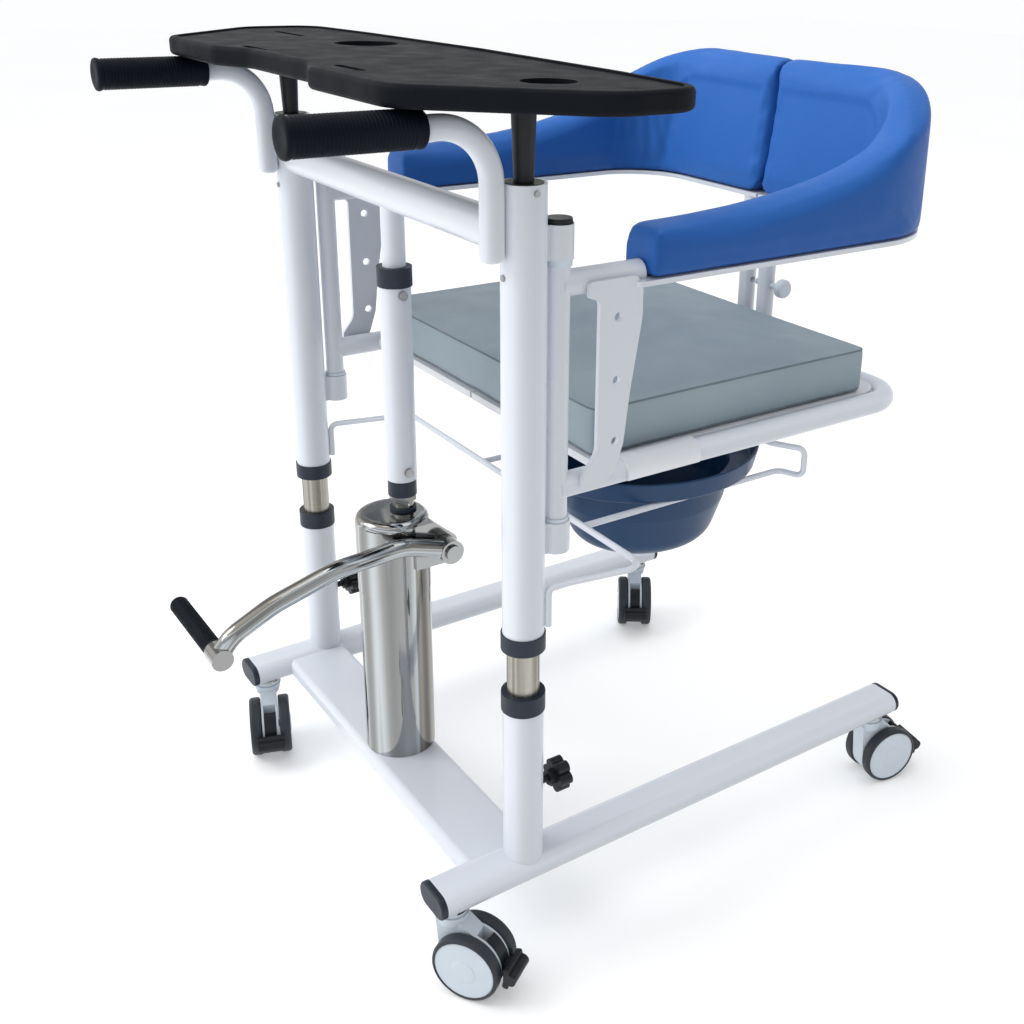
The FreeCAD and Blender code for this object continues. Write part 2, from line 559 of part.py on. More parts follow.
arm_rod = cyl("arm_rod", "seat_tube_r", "128-hinge_y", ("col_x", "hinge_y", "arm_z"), "y")
arm_plate = plate("arm_plate", u_plan(2, 112, D["plate_z"]), (0, 0, D["plate_t"]), [8, 8, 118, 0, 0, 77])
arm_right = cut("arm_cut", fuse("arm_mass", arm_rod, arm_plate), knuckle_hole("arm_hole"))

rear = D["seat_rear"]
seat_line = [(hx, hy, D["seat_z"]), (hx, rear, D["seat_z"]), (split, rear, D["seat_z"])]
seat_rod = rod("seat_rod", seat_line, D["seat_bend"], "seat_tube_r")
mast = cyl("mast", "mast_r", "plate_z-seat_z", ("mast_x", "seat_rear", "seat_z"))
mast_bore = cyl("mast_bore", 4.1, 60, (-10, "seat_rear", "latch_z"), "x")
seat_hollow = rod("seat_hollow", seat_line, D["seat_bend"], "seat_tube_r-2")
seat_mass = fuse("seat_mass", seat_rod, mast)
seat_right = cut("seat_cut", seat_mass, seat_hollow, knuckle_hole("seat_hole"), mast_bore)

bx = hx + D["seat_tube_r"]
bracket_line = [(bx, 60, 754), (bx, 60, 739), (bx, 72, 735), (bx, 72, 584), (bx, 57, 566), (bx, 55, 550),
                (bx, 80, 548), (bx, 94, 562), (bx, 103, 589), (bx, 109, 640), (bx, 121, 712),
                (bx, 121, 742), (bx, 114, 754)]
bracket_radii = [4, 3, 6, 24, 6, 4, 10, 12, 0, 0, 20, 10, 8]
bracket_plate = plate("bracket_plate", bracket_line, (D["bracket_t"], 0, 0), bracket_radii)
bracket_holes = [cyl("bracket_hole_%d" % i, 4.5, 20, (bx - 5, 93, 717 - 62 * i), "x") for i in range(3)]
bracket_right = cut("bracket_cut", bracket_plate, arm_plate, *bracket_holes)

board_line = [(split, 90, 0), (242, 90, 0), (242, 507, 0), (split, 507, 0)]
board_blank = plate("board_blank", board_line, (0, 0, D["board_t"]), [0, 10, 34, 0], (0, 0, D["board_z"]))
opening = doc.addObject("Part::Ellipse", "opening_line")
opening.MajorRadius = 120
opening.MinorRadius = 95
opening.Placement = FreeCAD.Placement(V(0, 262, 540), FreeCAD.Rotation(V(0, 0, 1), 90))
opening_tool = doc.addObject("Part::Extrusion", "opening_tool")
opening_tool.Base = opening
opening_tool.DirMode = "Custom"
opening_tool.Dir = V(0, 0, 1)
opening_tool.LengthFwd = 40
opening_tool.Solid = True
clip_out = cyl("clip_out", "seat_tube_r+3.5", 92, ("col_x", 113, "seat_z"), "y")
clip_below = box("clip_below", 60, 120, 40, (hx - 30, 100, 505))
clip_tube = cyl("clip_tube", "seat_tube_r+0.1", 600, ("col_x", 0, "seat_z"), "y")
board_side = box("clip_bridge", 12, 92, "board_t", ("col_x-seat_tube_r-6", 113, "board_z"))
clip = cut("clip_half", clip_out, clip_below)
board_right = cut("board_cut", fuse("board_mass", board_blank, board_side, clip), opening_tool, clip_tube)

pad_foot = rounded_wire(u_plan(0, 130, D["pad_z"]), [0, 0, 120, 0, 0, 77], closed=True)
pad_head = rounded_wire(lean_plan(130, D["pad_top"] + 2), [0, 0, 120, 0, 0, 77], closed=True)
pad_plan = doc.addObject("Part::Loft", "pad_plan")
pad_plan.Sections = [solid("pad_foot", pad_foot), solid("pad_head", pad_head)]
pad_plan.Solid = True
pad_plan.Ruled = True


def crown_prism(name, curve_points, floor_points, sweep):
    """Solid under a smooth crown line, swept sideways."""
    curve = Part.BSplineCurve()
    curve.interpolate([V(*p) for p in curve_points])
    ring = [curve_points[-1]] + floor_points + [curve_points[0]]
    edges = [curve.toShape()] + [Part.makeLine(V(*a), V(*b)) for a, b in zip(ring, ring[1:])]
    return solid(name, Part.Face(Part.Wire(Part.__sortEdges__(edges))).extrude(V(*sweep)))


pz = D["pad_z"]
top = D["pad_top"]
side_crown = [(0, 130, 797), (0, 262, 805), (0, 346, 818), (0, 420, 838), (0, 470, 862), (0, 505, 889),
              (0, 540, 911), (0, 572, top)]
side_view = crown_prism("pad_side", side_crown, [(0, 572, pz - 1), (0, 130, pz - 1)], (300, 0, 0))
back_crown = [(-10, 120, top + 8), (60, 120, top + 6), (120, 120, top + 2), (170, 120, top - 3),
              (215, 120, top - 15), (250, 120, top - 37), (290, 120, top - 72)]
back_view = crown_prism("pad_crown", back_crown, [(290, 120, pz - 1), (-10, 120, pz - 1)], (0, 460, 0))
pad_body = common("pad_body", pad_plan, side_view)
corner_box = box("pad_notch_box", 20, 90, 20, ("split", 500, "pad_z"))
corner_disc = cyl("pad_notch_disc", 20, 92, ("split+20", 499, "pad_z+20"), "y")
pad_notched = cut("pad_notched", pad_body, cut("pad_notch", corner_box, corner_disc))
pad_smooth = rounded("pad_smooth", pad_notched, D["pad_round"], pad_edge)
pad_crowned = common("pad_crowned", pad_smooth, back_view)
pad_right = rounded("pad_round", pad_crowned, D["crown_round"], crown_edge)

HALF = (("hinge_tube", hinge_right), ("arm_frame", arm_right), ("seat_tube", seat_right),
        ("side_bracket", bracket_right), ("seat_board", board_right), ("armrest_pad", pad_right))
for label, right in HALF:
    keep(right, label + "_right")
    keep(mirror(label + "_mirror", right), label + "_left")

latch_pin = cyl("latch_pin", 4, 44, (1, "seat_rear", "latch_z"), "x")
latch_head = rounded("latch_head_round", cyl("latch_head", 12, 12, (42.5, "seat_rear", "latch_z"), "x"), 4,
                     lambda e: e.Curve.TypeId == "Part::GeomCircle")
keep(fuse("latch", latch_pin, latch_head), "latch_knob")

# ---------------------------------------------------------------- casters
CASTERS = (("front_right", 1, "stem_front", 33), ("rear_right", 1, "stem_rear", 80),
           ("front_left", -1, "stem_front", -20), ("rear_left", -1, "stem_rear", -35))
axle_x = D["trail"]
axle_z = D["wheel_r"]
PIVOT_X = axle_x + 20
PIVOT_Z = axle_z + 20


def on_wheel(radius, degrees, y=0.0):
    """Point of the caster's middle plane given in polar form about the axle."""
    angle = math.radians(degrees)
    return (axle_x + radius * math.cos(angle), y, axle_z + radius * math.sin(angle))


def tyre_sector(name, inner, outer, start, end, half_width):
    """Piece of a ring about the axle between two angles."""
    points = [on_wheel(inner, start, -half_width), on_wheel(outer, start, -half_width),
              on_wheel(outer, end, -half_width), on_wheel(inner, end, -half_width)]
    middle = (start + end) / 2
    edges = [Part.makeLine(V(*points[0]), V(*points[1])),
             Part.Arc(V(*points[1]), V(*on_wheel(outer, middle, -half_width)), V(*points[2])).toShape(),
             Part.makeLine(V(*points[2]), V(*points[3])),
             Part.Arc(V(*points[3]), V(*on_wheel(inner, middle, -half_width)), V(*points[0])).toShape()]
    return solid(name, Part.Face(Part.Wire(edges)).extrude(V(0, 2 * half_width, 0)))


def turned(name, outline):
    """Solid of revolution about Y from (radius, y) points."""
    line = Part.makePolygon([V(r, y, 0) for r, y in outline + outline[:1]])
    return solid(name, Part.Face(line).revolve(V(0, 0, 0), V(0, 1, 0), 360))


for name, sign, stem_y, heading in CASTERS:
    swing = FreeCAD.Rotation(V(0, 0, 1), heading)
    at = ("%d*col_x" % sign, stem_y, "floor_z")
    side_y = "-fork_w/2"
    half = D["fork_w"] / 2
    housing = cone("housing_" + name, 15, 17.5, 12.5, (0, 0, 78))
    housing_ring = cyl("housing_ring_" + name, 15.5, 4.5, (0, 0, 90.5))
    disc = cyl("core_disc_" + name, "fork_r", "fork_w", ("trail", side_y, "wheel_r"), "y")
    fender_line = [(-15, -half, 84), (-11, -half, 38), (24.5, -half, 20), (46, -half, 60), (14.5, -half, 84)]
    fender = plate("fender_" + name, fender_line, (0, D["fork_w"], 0))
    trim = box("core_trim_" + name, 120, 40, 18, (-40, -20, -6))
    slot = box("brake_slot_" + name, 50, 15.6, 90, ("trail+7", -7.8, -10))
    king = cyl("king_" + name, "stem_r+0.05", 21, (0, 0, 75.5))
    yoke_blank = fuse("yoke_blank_" + name, housing, housing_ring, disc, fender)
    axle = cyl("axle_" + name, "axle_r", 46, ("trail", -23, "wheel_r"), "y")
    pivot = cyl("brake_pivot_" + name, 2.5, "fork_w", (PIVOT_X, side_y, PIVOT_Z), "y")
    yoke = fuse("yoke_" + name, cut("yoke_mass_" + name, yoke_blank, trim, slot, king), axle, pivot)
    keep(place(yoke, at, swing), "caster_yoke_" + name)
    for tag, lean in (("a", -1), ("b", 1)):
        w = D["wheel_w"] / 2
        r = D["wheel_r"]
        h = D["hub_r"]
        rim = [(h, -w), (r - 2.5, -w), (r - 0.7, -w + 0.8), (r, -w + 2.5), (r, w - 4), (r - 0.8, w - 1.8),
               (r - 2.6, w - 0.4), (h + 0.8, w - 0.2), (h, w - 0.8)]
        hub = [(D["axle_bore"], -w), (h, -w), (h, w - 1.6), (h - 1.6, w - 0.9), (15, w - 0.2),
               (13.5, w - 0.1), (12.5, w + 0.6), (6, w + 1), (0, w + 1), (0, w - 2), (D["axle_bore"], w - 2)]
        tyre = turned("tyre_%s_%s" % (tag, name), rim)
        plate_disc = turned("disc_%s_%s" % (tag, name), hub)
        wheel = group("wheel_%s_%s" % (tag, name), tyre, plate_disc)
        turn = swing if lean > 0 else swing.multiply(FreeCAD.Rotation(V(0, 0, 1), 180))
        arm = swing.multVec(V(D["trail"], lean * D["wheel_gap"], D["wheel_r"] + D["floor_z"]))
        wheel.Placement = FreeCAD.Placement(V(sign * D["col_x"], D[stem_y], 0) + arm, turn)
        keep(wheel, "caster_wheel_%s_%s" % (tag, name))
    insert = tyre_sector("brake_insert_" + name, 23, 36.5, -25, 58, 7.5)
    neck_piece = tyre_sector("brake_neck_" + name, 35, 42, -14, 10, 6)
    bar_piece = tyre_sector("brake_bar_" + name, 41.2, 48, -17, 13, 17)
    bar_round = rounded("brake_bar_round_" + name, bar_piece, 2, lambda e: along(e, (0, 1, 0)))
    tread_x, _, tread_z = on_wheel(48.3, -2)
    tread = cyl("brake_tread_" + name, 6.8, 34, (tread_x, -17, tread_z), "y")
    eye = cyl("brake_eye_" + name, 2.55, 20, (PIVOT_X, -10, PIVOT_Z), "y")
    brake = cut("brake_" + name, fuse("brake_mass_" + name, insert, neck_piece, bar_round, tread), eye)
    keep(place(brake, at, swing), "caster_brake_" + name)

# ---------------------------------------------------------------- write the sub-parts
doc.recompute()
problems = []
for obj in doc.Objects:
    if "Invalid" in obj.State or "Error" in obj.State:
        problems.append("%s %s" % (obj.Name, obj.State))
for obj in PARTS:
    if obj.Shape.isNull() or not obj.Shape.isValid() or not obj.Shape.Solids:
        problems.append("%s shape" % obj.Label)
if problems:
    raise SystemExit("not written: " + "; ".join(problems))
for obj in PARTS:
    obj.Shape.exportStep("parts/%s.step" % obj.Label)
print("sub-parts written:", len(PARTS))
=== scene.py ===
import json
import math

import bmesh
import bpy
from mathutils import Matrix, Vector, noise


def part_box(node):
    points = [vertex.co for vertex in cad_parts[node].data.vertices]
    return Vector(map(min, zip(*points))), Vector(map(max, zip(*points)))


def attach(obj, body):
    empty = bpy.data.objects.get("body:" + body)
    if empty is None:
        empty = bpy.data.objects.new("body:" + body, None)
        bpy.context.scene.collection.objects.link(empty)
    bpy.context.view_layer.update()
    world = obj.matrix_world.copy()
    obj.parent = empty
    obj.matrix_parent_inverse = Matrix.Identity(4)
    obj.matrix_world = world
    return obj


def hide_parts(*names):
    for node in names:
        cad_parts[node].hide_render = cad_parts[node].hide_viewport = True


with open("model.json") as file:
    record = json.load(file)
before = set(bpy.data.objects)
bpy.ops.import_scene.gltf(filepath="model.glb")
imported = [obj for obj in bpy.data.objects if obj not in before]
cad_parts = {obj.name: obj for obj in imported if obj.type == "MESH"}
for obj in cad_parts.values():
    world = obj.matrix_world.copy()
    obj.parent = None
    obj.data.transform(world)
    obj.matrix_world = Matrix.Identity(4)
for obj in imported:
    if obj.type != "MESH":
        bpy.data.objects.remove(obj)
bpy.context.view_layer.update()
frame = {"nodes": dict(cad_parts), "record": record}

nodes = frame["nodes"]


# ------------------------------------------------------------ reference positions
def centre(node):
    """Middle of a node's box."""
    low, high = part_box(node)
    return (Vector(low) + Vector(high)) / 2


COLUMN_Y = centre("guide_tubes").y
SIDES = (("left", -1), ("right", 1))


# ------------------------------------------------------------ shader node helpers
def dot_product(tree, vector, way):
    """How far a vector points one way: from -1 to 1 where both are of length 1."""
    node = tree.nodes.new("ShaderNodeVectorMath")
    node.operation = "DOT_PRODUCT"
    node.inputs[1].default_value = way
    tree.links.new(vector, node.inputs[0])
    return node.outputs["Value"]


def map_range(tree, value, low, high, low_at=0.0, high_at=1.0):
    """Run from low to high while the value runs from low_at to high_at."""
    node = tree.nodes.new("ShaderNodeMapRange")
    for socket, number in (("From Min", low_at), ("From Max", high_at), ("To Min", low), ("To Max", high)):
        node.inputs[socket].default_value = number
    tree.links.new(value, node.inputs["Value"])
    return node.outputs["Result"]


# ------------------------------------------------------------ materials
# painted shade: enamel and foam get a darker base colour where they face this dim side of the room
SHADE_SIDE = (1.0, -0.15, -0.35)


class Shader:
    """A principled material with a few helpers for procedural detail."""

    def __init__(self, name, color, rough, metal=0.0, coat=0.0, coat_rough=0.1, sheen=0.0, specular=0.5):
        self.mat = bpy.data.materials.new(name)
        self.mat.use_nodes = True
        self.tree = self.mat.node_tree
        self.bsdf = self.tree.nodes["Principled BSDF"]
        self.color = color
        self.set("Base Color", (*color, 1))
        self.set("Roughness", rough)
        self.set("Metallic", metal)
        self.set("Coat Weight", coat)
        self.set("Coat Roughness", coat_rough)
        self.set("Sheen Weight", sheen)
        self.set("Specular IOR Level", specular)
        self.coords = self.tree.nodes.new("ShaderNodeTexCoord")
        self.height = None

    def set(self, socket, value):
        self.bsdf.inputs[socket].default_value = value

    def link(self, out, into):
        self.tree.links.new(out, into)

    def mapped(self, scale=(1, 1, 1)):
        node = self.tree.nodes.new("ShaderNodeMapping")
        node.inputs["Scale"].default_value = scale
        self.link(self.coords.outputs["Object"], node.inputs["Vector"])
        return node.outputs["Vector"]

    def noise(self, scale, detail=3.0, stretch=(1, 1, 1)):
        node = self.tree.nodes.new("ShaderNodeTexNoise")
        node.inputs["Scale"].default_value = scale
        node.inputs["Detail"].default_value = detail
        self.link(self.mapped(stretch), node.inputs["Vector"])
        return node.outputs["Fac"]

    def cells(self, scale, stretch=(1, 1, 1), feature="F1"):
        node = self.tree.nodes.new("ShaderNodeTexVoronoi")
        node.feature = feature
        node.inputs["Scale"].default_value = scale
        self.link(self.mapped(stretch), node.inputs["Vector"])
        return node.outputs["Distance"]

    def painted_reflection_noise(self, by_normal, by_place, detail=2.0):
        """Noise that follows the way the surface faces, for a painted reflection of still surroundings."""
        parts = []
        for source, scale in (("Normal", by_normal), ("Object", by_place)):
            node = self.tree.nodes.new("ShaderNodeVectorMath")
            node.operation = "MULTIPLY"
            node.inputs[1].default_value = scale
            self.link(self.coords.outputs[source], node.inputs[0])
            parts.append(node.outputs["Vector"])
        total = self.tree.nodes.new("ShaderNodeVectorMath")
        total.operation = "ADD"
        self.link(parts[0], total.inputs[0])
        self.link(parts[1], total.inputs[1])
        node = self.tree.nodes.new("ShaderNodeTexNoise")
        node.inputs["Scale"].default_value = 1.0
        node.inputs["Detail"].default_value = detail
        self.link(total.outputs["Vector"], node.inputs["Vector"])
        return node.outputs["Fac"]

    def facing(self, way):
        """How far the surface faces a fixed direction, from -1 to 1."""
        return dot_product(self.tree, self.coords.outputs["Normal"], Vector(way).normalized())

    def color_bands(self, fac, stops):
        """Base colour from (place, colour) stops."""
        node = self.tree.nodes.new("ShaderNodeValToRGB")
        ramp = node.color_ramp
        while len(ramp.elements) < len(stops):
            ramp.elements.new(1.0)
        for element, (place, color) in zip(ramp.elements, stops):
            element.position = place
            element.color = (*color, 1)
        self.link(fac, node.inputs["Fac"])
        self.link(node.outputs["Color"], self.bsdf.inputs["Base Color"])
        return self

    def vary_color(self, fac, other, low_at=0.35, high_at=0.65):
        node = self.tree.nodes.new("ShaderNodeMix")
        node.data_type = "RGBA"
        source = self.bsdf.inputs["Base Color"]
        if source.is_linked:
            self.link(source.links[0].from_socket, node.inputs["A"])
        else:
            node.inputs["A"].default_value = (*self.color, 1)
        node.inputs["B"].default_value = (*other, 1)
        self.link(map_range(self.tree, fac, 0, 1, low_at, high_at), node.inputs["Factor"])
        self.link(node.outputs["Result"], source)
        return self

    def vary_rough(self, fac, low, high, low_at=0.3, high_at=0.7):
        self.link(map_range(self.tree, fac, low, high, low_at, high_at), self.bsdf.inputs["Roughness"])
        return self

    def bump(self, fac, distance, strength=1.0):
        node = self.tree.nodes.new("ShaderNodeBump")
        node.inputs["Distance"].default_value = distance
        node.inputs["Strength"].default_value = strength
        self.link(fac, node.inputs["Height"])
        if self.height:
            self.link(self.height, node.inputs["Normal"])
        self.height = node.outputs["Normal"]
        self.link(self.height, self.bsdf.inputs["Normal"])
        return self


def white_enamel():
    s = Shader("white_enamel", (0.70, 0.735, 0.795), 0.3, coat=0.3, coat_rough=0.08, specular=0.4)
    s.vary_color(s.noise(3, 2), (0.685, 0.72, 0.785), 0.3, 0.8)
    # painted shade: the enamel's base colour darkens where the surface faces SHADE_SIDE
    s.vary_color(s.facing(SHADE_SIDE), (0.53, 0.555, 0.60), 0.62, 1.0)
    s.vary_rough(s.noise(14, 2), 0.29, 0.325)
    s.bump(s.noise(240, 1), 0.00003, 0.25)
    return s.mat


def white_plastic():
    s = Shader("white_plastic", (0.70, 0.72, 0.75), 0.42, specular=0.35)
    s.vary_color(s.noise(14, 4), (0.66, 0.68, 0.71))
    s.bump(s.noise(900, 2), 0.0002, 0.5)
    return s.mat


def chrome():
    s = Shader("chrome", (0.55, 0.56, 0.57), 0.07, metal=1.0)
    # painted reflection: dark, beige and bright streaks that turn with the surface's facing stand in for
    # reflected surroundings
    s.color_bands(s.painted_reflection_noise((0.85, 0.85, 0.9), (0.3, 0.3, 0.2), 1.0), (
        (0.30, (0.05, 0.052, 0.056)), (0.38, (0.15, 0.147, 0.14)), (0.44, (0.32, 0.30, 0.265)),
        (0.495, (0.26, 0.25, 0.235)), (0.515, (0.55, 0.585, 0.60)), (0.56, (0.32, 0.32, 0.315)),
        (0.61, (0.22, 0.225, 0.225)), (0.65, (0.60, 0.645, 0.67)), (0.71, (0.13, 0.135, 0.14))))
    s.vary_rough(s.noise(25, 5), 0.05, 0.14)
    s.bump(s.noise(30, 3), 0.0003, 0.2)
    return s.mat


def brushed_steel():
    s = Shader("brushed_steel", (0.30, 0.285, 0.245), 0.34, metal=1.0)
    s.set("Anisotropic", 0.5)
    # steel's own warm grey tone, with painted highlight and shade bands that turn with the surface's facing
    s.color_bands(s.painted_reflection_noise((1.6, 1.6, 0.4), (1, 1, 1)), (
        (0.35, (0.19, 0.18, 0.155)), (0.48, (0.29, 0.275, 0.235)), (0.56, (0.44, 0.43, 0.39)),
        (0.66, (0.27, 0.255, 0.215))))
    lines = s.noise(60, 6, (1, 1, 40))
    s.vary_rough(lines, 0.24, 0.46)
    s.bump(lines, 0.0002, 0.4)
    return s.mat


def screw_steel():
    s = Shader("screw_steel", (0.36, 0.365, 0.37), 0.26, metal=1.0)
    s.vary_color(s.noise(60, 3), (0.30, 0.305, 0.31))
    s.vary_rough(s.noise(200, 4), 0.2, 0.36)
    s.bump(s.noise(900, 3), 0.0001, 0.3)
    return s.mat


def plastic(name, color, rough, grain=700, depth=0.0003, second=None, specular=0.3):
    s = Shader(name, color, rough, specular=specular)
    s.vary_color(s.noise(18, 5), second or tuple(c * 1.35 + 0.002 for c in color), 0.45, 0.8)
    s.vary_rough(s.noise(35, 4), rough - 0.06, rough + 0.08)
    s.bump(s.noise(grain, 3), depth, 0.6)
    return s.mat


def blue_foam():
    s = Shader("blue_foam", (0.020, 0.128, 0.46), 0.52, sheen=0.03, specular=0.2)
    s.vary_color(s.noise(7, 4), (0.026, 0.142, 0.50), 0.35, 0.75)
    # painted shade: the foam's base colour darkens where the surface faces SHADE_SIDE
    s.vary_color(s.facing(SHADE_SIDE), (0.008, 0.076, 0.30), 0.3, 0.95)
    s.vary_rough(s.noise(40, 4), 0.42, 0.56)
    s.bump(s.noise(900, 4), 0.0004, 0.45)
    s.bump(s.cells(420), 0.0003, 0.3)
    return s.mat


def grey_vinyl():
    s = Shader("grey_vinyl", (0.245, 0.305, 0.345), 0.52, specular=0.3)
    s.vary_color(s.noise(4, 5), (0.285, 0.345, 0.385), 0.35, 0.7)
    s.vary_rough(s.noise(30, 4), 0.46, 0.6)
    s.bump(s.cells(520, feature="DISTANCE_TO_EDGE"), 0.0004, 0.35)
    s.bump(s.noise(1400, 3), 0.0003, 0.35)
    return s.mat


MATS = {
    "white_enamel": white_enamel(), "white_plastic": white_plastic(), "chrome": chrome(),
    "brushed_steel": brushed_steel(), "blue_foam": blue_foam(), "grey_vinyl": grey_vinyl(),
    "black_plastic": plastic("black_plastic", (0.007, 0.008, 0.011), 0.42),
    "navy_plastic": plastic("navy_plastic", (0.013, 0.020, 0.034), 0.4),
    "ribbed_rubber": plastic("ribbed_rubber", (0.0025, 0.0045, 0.0085), 0.5, 1200, specular=0.08),
    "pan_plastic": plastic("pan_plastic", (0.011, 0.043, 0.110), 0.36, 300, 0.00005, (0.014, 0.049, 0.120)),
    "tray_plastic": plastic("tray_plastic", (0.005, 0.0065, 0.0095), 0.56, 1500, 0.0003,
                            (0.006, 0.0077, 0.011), specular=0.07),
    "grey_plastic": plastic("grey_plastic", (0.56, 0.62, 0.68), 0.38, 500, 0.0001, (0.52, 0.58, 0.64)),
    "tyre_rubber": plastic("tyre_rubber", (0.026, 0.031, 0.038), 0.5, 900),
    "screw_steel": screw_steel(),
    "seam_thread": plastic("seam_thread", (0.13, 0.16, 0.185), 0.6, 2400, 0.0001),
}
for part in frame["record"]["subparts"]:
    obj = nodes[part["node"]]
    obj.data.materials.clear()
    obj.data.materials.append(MATS[part["material_slot"]])
nodes["carriage_screws"].data.materials[0] = MATS["screw_steel"]


# ------------------------------------------------------------ nodes of two colours
def second_material(node, material, belongs):
    """Give the faces of a node for which belongs(centre) is true another material."""
    mesh = nodes[node].data
    mesh.materials.append(MATS[material])
    index = len(mesh.materials) - 1
    for face in mesh.polygons:
        if belongs(face.center):
            face.material_index = index


def off_axis(place, axis_at, axis=Vector((0, 0, 1))):
    """Distance of a place from an axis, which is upright unless given."""
    arm = place - axis_at
    return (arm - axis * arm.dot(axis)).length


# casters: light hubs in dark tyres
TYRE_INNER = 0.034
EDGE_MARGIN = 0.0004
for joint in frame["record"]["behaviour"]["joints"]:
    if joint["name"].startswith("roll"):
        wheel = joint["name"].replace("roll", "caster_wheel")
        axle = Vector(joint["axis"]).normalized()
        hub = Vector(joint["pos_m"])
        second_material(wheel, "grey_plastic",
                        lambda p, h=hub, a=axle: off_axis(p, h, a) < TYRE_INNER - EDGE_MARGIN)

# light washers at both ends of the hinge tubes, and the dark gland on top of the pump
HINGE_TUBE_R = 0.0115
GLAND_R = 0.0152
GLAND_HEIGHT = 0.0032
for side, sign in SIDES:
    tube = "hinge_tube_" + side
    second_material(tube, "grey_plastic", lambda p, c=centre(tube): off_axis(p, c) > HINGE_TUBE_R)
ram_axis = centre("piston_rod")
gland_foot = Vector(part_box("pump_head")[1]).z - GLAND_HEIGHT
second_material("pump_head", "navy_plastic", lambda p: p.z > gland_foot and off_axis(p, ram_axis) < GLAND_R)


# ------------------------------------------------------------ mesh helpers
def add_object(name, mesh, material, body):
    """Object of one material that rides on a body; its slot is the material's name."""
    obj = bpy.data.objects.new(name, mesh)
    bpy.context.collection.objects.link(obj)
    mesh.materials.clear()
    mesh.materials.append(MATS[material])
    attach(obj, body)
    return obj


def lathe(profile, origin, axis, steps=48):
    """Mesh turned from (radius, distance along axis) points about an axis."""
    bm = bmesh.new()
    turn = Vector((0, 0, 1)).rotation_difference(Vector(axis)).to_matrix()

    def corner(radius, along, i):
        """Vertex i of the ring at one point of the profile."""
        angle = 2 * math.pi * i / steps
        return bm.verts.new(Vector(origin) + turn @ Vector((radius * math.cos(angle),
                                                            radius * math.sin(angle), along)))

    rings = [[corner(radius, along, i) for i in range(steps if radius else 1)] for radius, along in profile]
    for ring, after in zip(rings, rings[1:]):
        for i in range(steps):
            j = (i + 1) % steps
            quad = [ring[i % len(ring)], ring[j % len(ring)], after[j % len(after)], after[i % len(after)]]
            quad = list(dict.fromkeys(quad))
            if len(quad) > 2:
                bm.faces.new(quad)
    bmesh.ops.recalc_face_normals(bm, faces=bm.faces)
    mesh = bpy.data.meshes.new("lathe")
    bm.to_mesh(mesh)
    bm.free()
    mesh.shade_smooth()
    return mesh


def active(obj):
    """Make an object the only selected one."""
    bpy.ops.object.select_all(action="DESELECT")
    obj.select_set(True)
    bpy.context.view_layer.objects.active = obj


def apply_modifiers(obj):
    active(obj)
    for name in [m.name for m in obj.modifiers]:
        bpy.ops.object.modifier_apply(modifier=name)


def remeshed_copy(node, name, voxel, shrink=0.0):
    """Even-grid copy of a CAD node's mesh, drawn in along its normals by shrink."""
    mesh = nodes[node].data.copy()
    obj = bpy.data.objects.new(name, mesh)
    bpy.context.collection.objects.link(obj)
    bm = bmesh.new()
    bm.from_mesh(mesh)
    bmesh.ops.remove_doubles(bm, verts=bm.verts, dist=1e-5)
    bm.to_mesh(mesh)
    bm.free()
    remesh = obj.modifiers.new("remesh", "REMESH")
    remesh.mode = "VOXEL"
    remesh.voxel_size = voxel
    apply_modifiers(obj)
    if shrink:
        move_vertices(obj, lambda v, n: v - n * shrink)
    return obj


def move_vertices(obj, shift):
    """Replace every vertex by shift(position, normal)."""
    mesh = obj.data
    moved = [shift(v.co.copy(), v.normal.copy()) for v in mesh.vertices]
    for vertex, place in zip(mesh.vertices, moved):
        vertex.co = place
    mesh.update()


def smooth(obj, rounds, factor=0.5):
    """Relax the mesh a number of times."""
    mod = obj.modifiers.new("smooth", "SMOOTH")
    mod.iterations = rounds
    mod.factor = factor
    apply_modifiers(obj)


CLOTH_FRAMES = 20
CLOTH_QUALITY = 5
CLOTH_STRETCH = 15
CLOTH_BEND = 0.6


def inflate(obj, pressure, cap, hold):
    """Cloth simulation under inner pressure; hold(place) runs from 0 free to 1 fixed.

    No vertex ends further from its start than cap.
    """
    start = [v.co.copy() for v in obj.data.vertices]
    group = obj.vertex_groups.new(name="hold")
    for i, place in enumerate(start):
        group.add([i], hold(place), "REPLACE")
    cloth = obj.modifiers.new("cloth", "CLOTH")
    cloth.settings.use_pressure = True
    cloth.settings.uniform_pressure_force = pressure
    cloth.settings.vertex_group_mass = "hold"
    cloth.settings.effector_weights.gravity = 0
    cloth.settings.quality = CLOTH_QUALITY
    cloth.settings.tension_stiffness = CLOTH_STRETCH
    cloth.settings.compression_stiffness = CLOTH_STRETCH
    cloth.settings.bending_stiffness = CLOTH_BEND
    cloth.collision_settings.use_collision = False
    scene = bpy.context.scene
    for step in range(CLOTH_FRAMES):
        scene.frame_set(step + 1)
    shaped = obj.evaluated_get(bpy.context.evaluated_depsgraph_get()).data
    ends = [v.co.copy() for v in shaped.vertices]
    obj.modifiers.remove(cloth)
    scene.frame_set(1)
    for vertex, a, b in zip(obj.data.vertices, start, ends):
        move = b - a
        if move.length > cap:
            move *= cap / move.length
        vertex.co = a + move
    obj.data.update()


def subdivide(obj, levels=1):
    """Refine the mesh and shade it smooth."""
    mod = obj.modifiers.new("smooth_surface", "SUBSURF")
    mod.levels = levels
    mod.render_levels = levels
    apply_modifiers(obj)
    obj.data.shade_smooth()


def fade(value, low, high):
    """Smooth step from 0 at low to 1 at high."""
    t = min(max((value - low) / (high - low), 0), 1)
    return t * t * (3 - 2 * t)


# ------------------------------------------------------------ hand grips with fine ribs
RIB_PITCH = 0.0034
RIB_DEPTH = 0.0009
GRIP_R = 0.0166


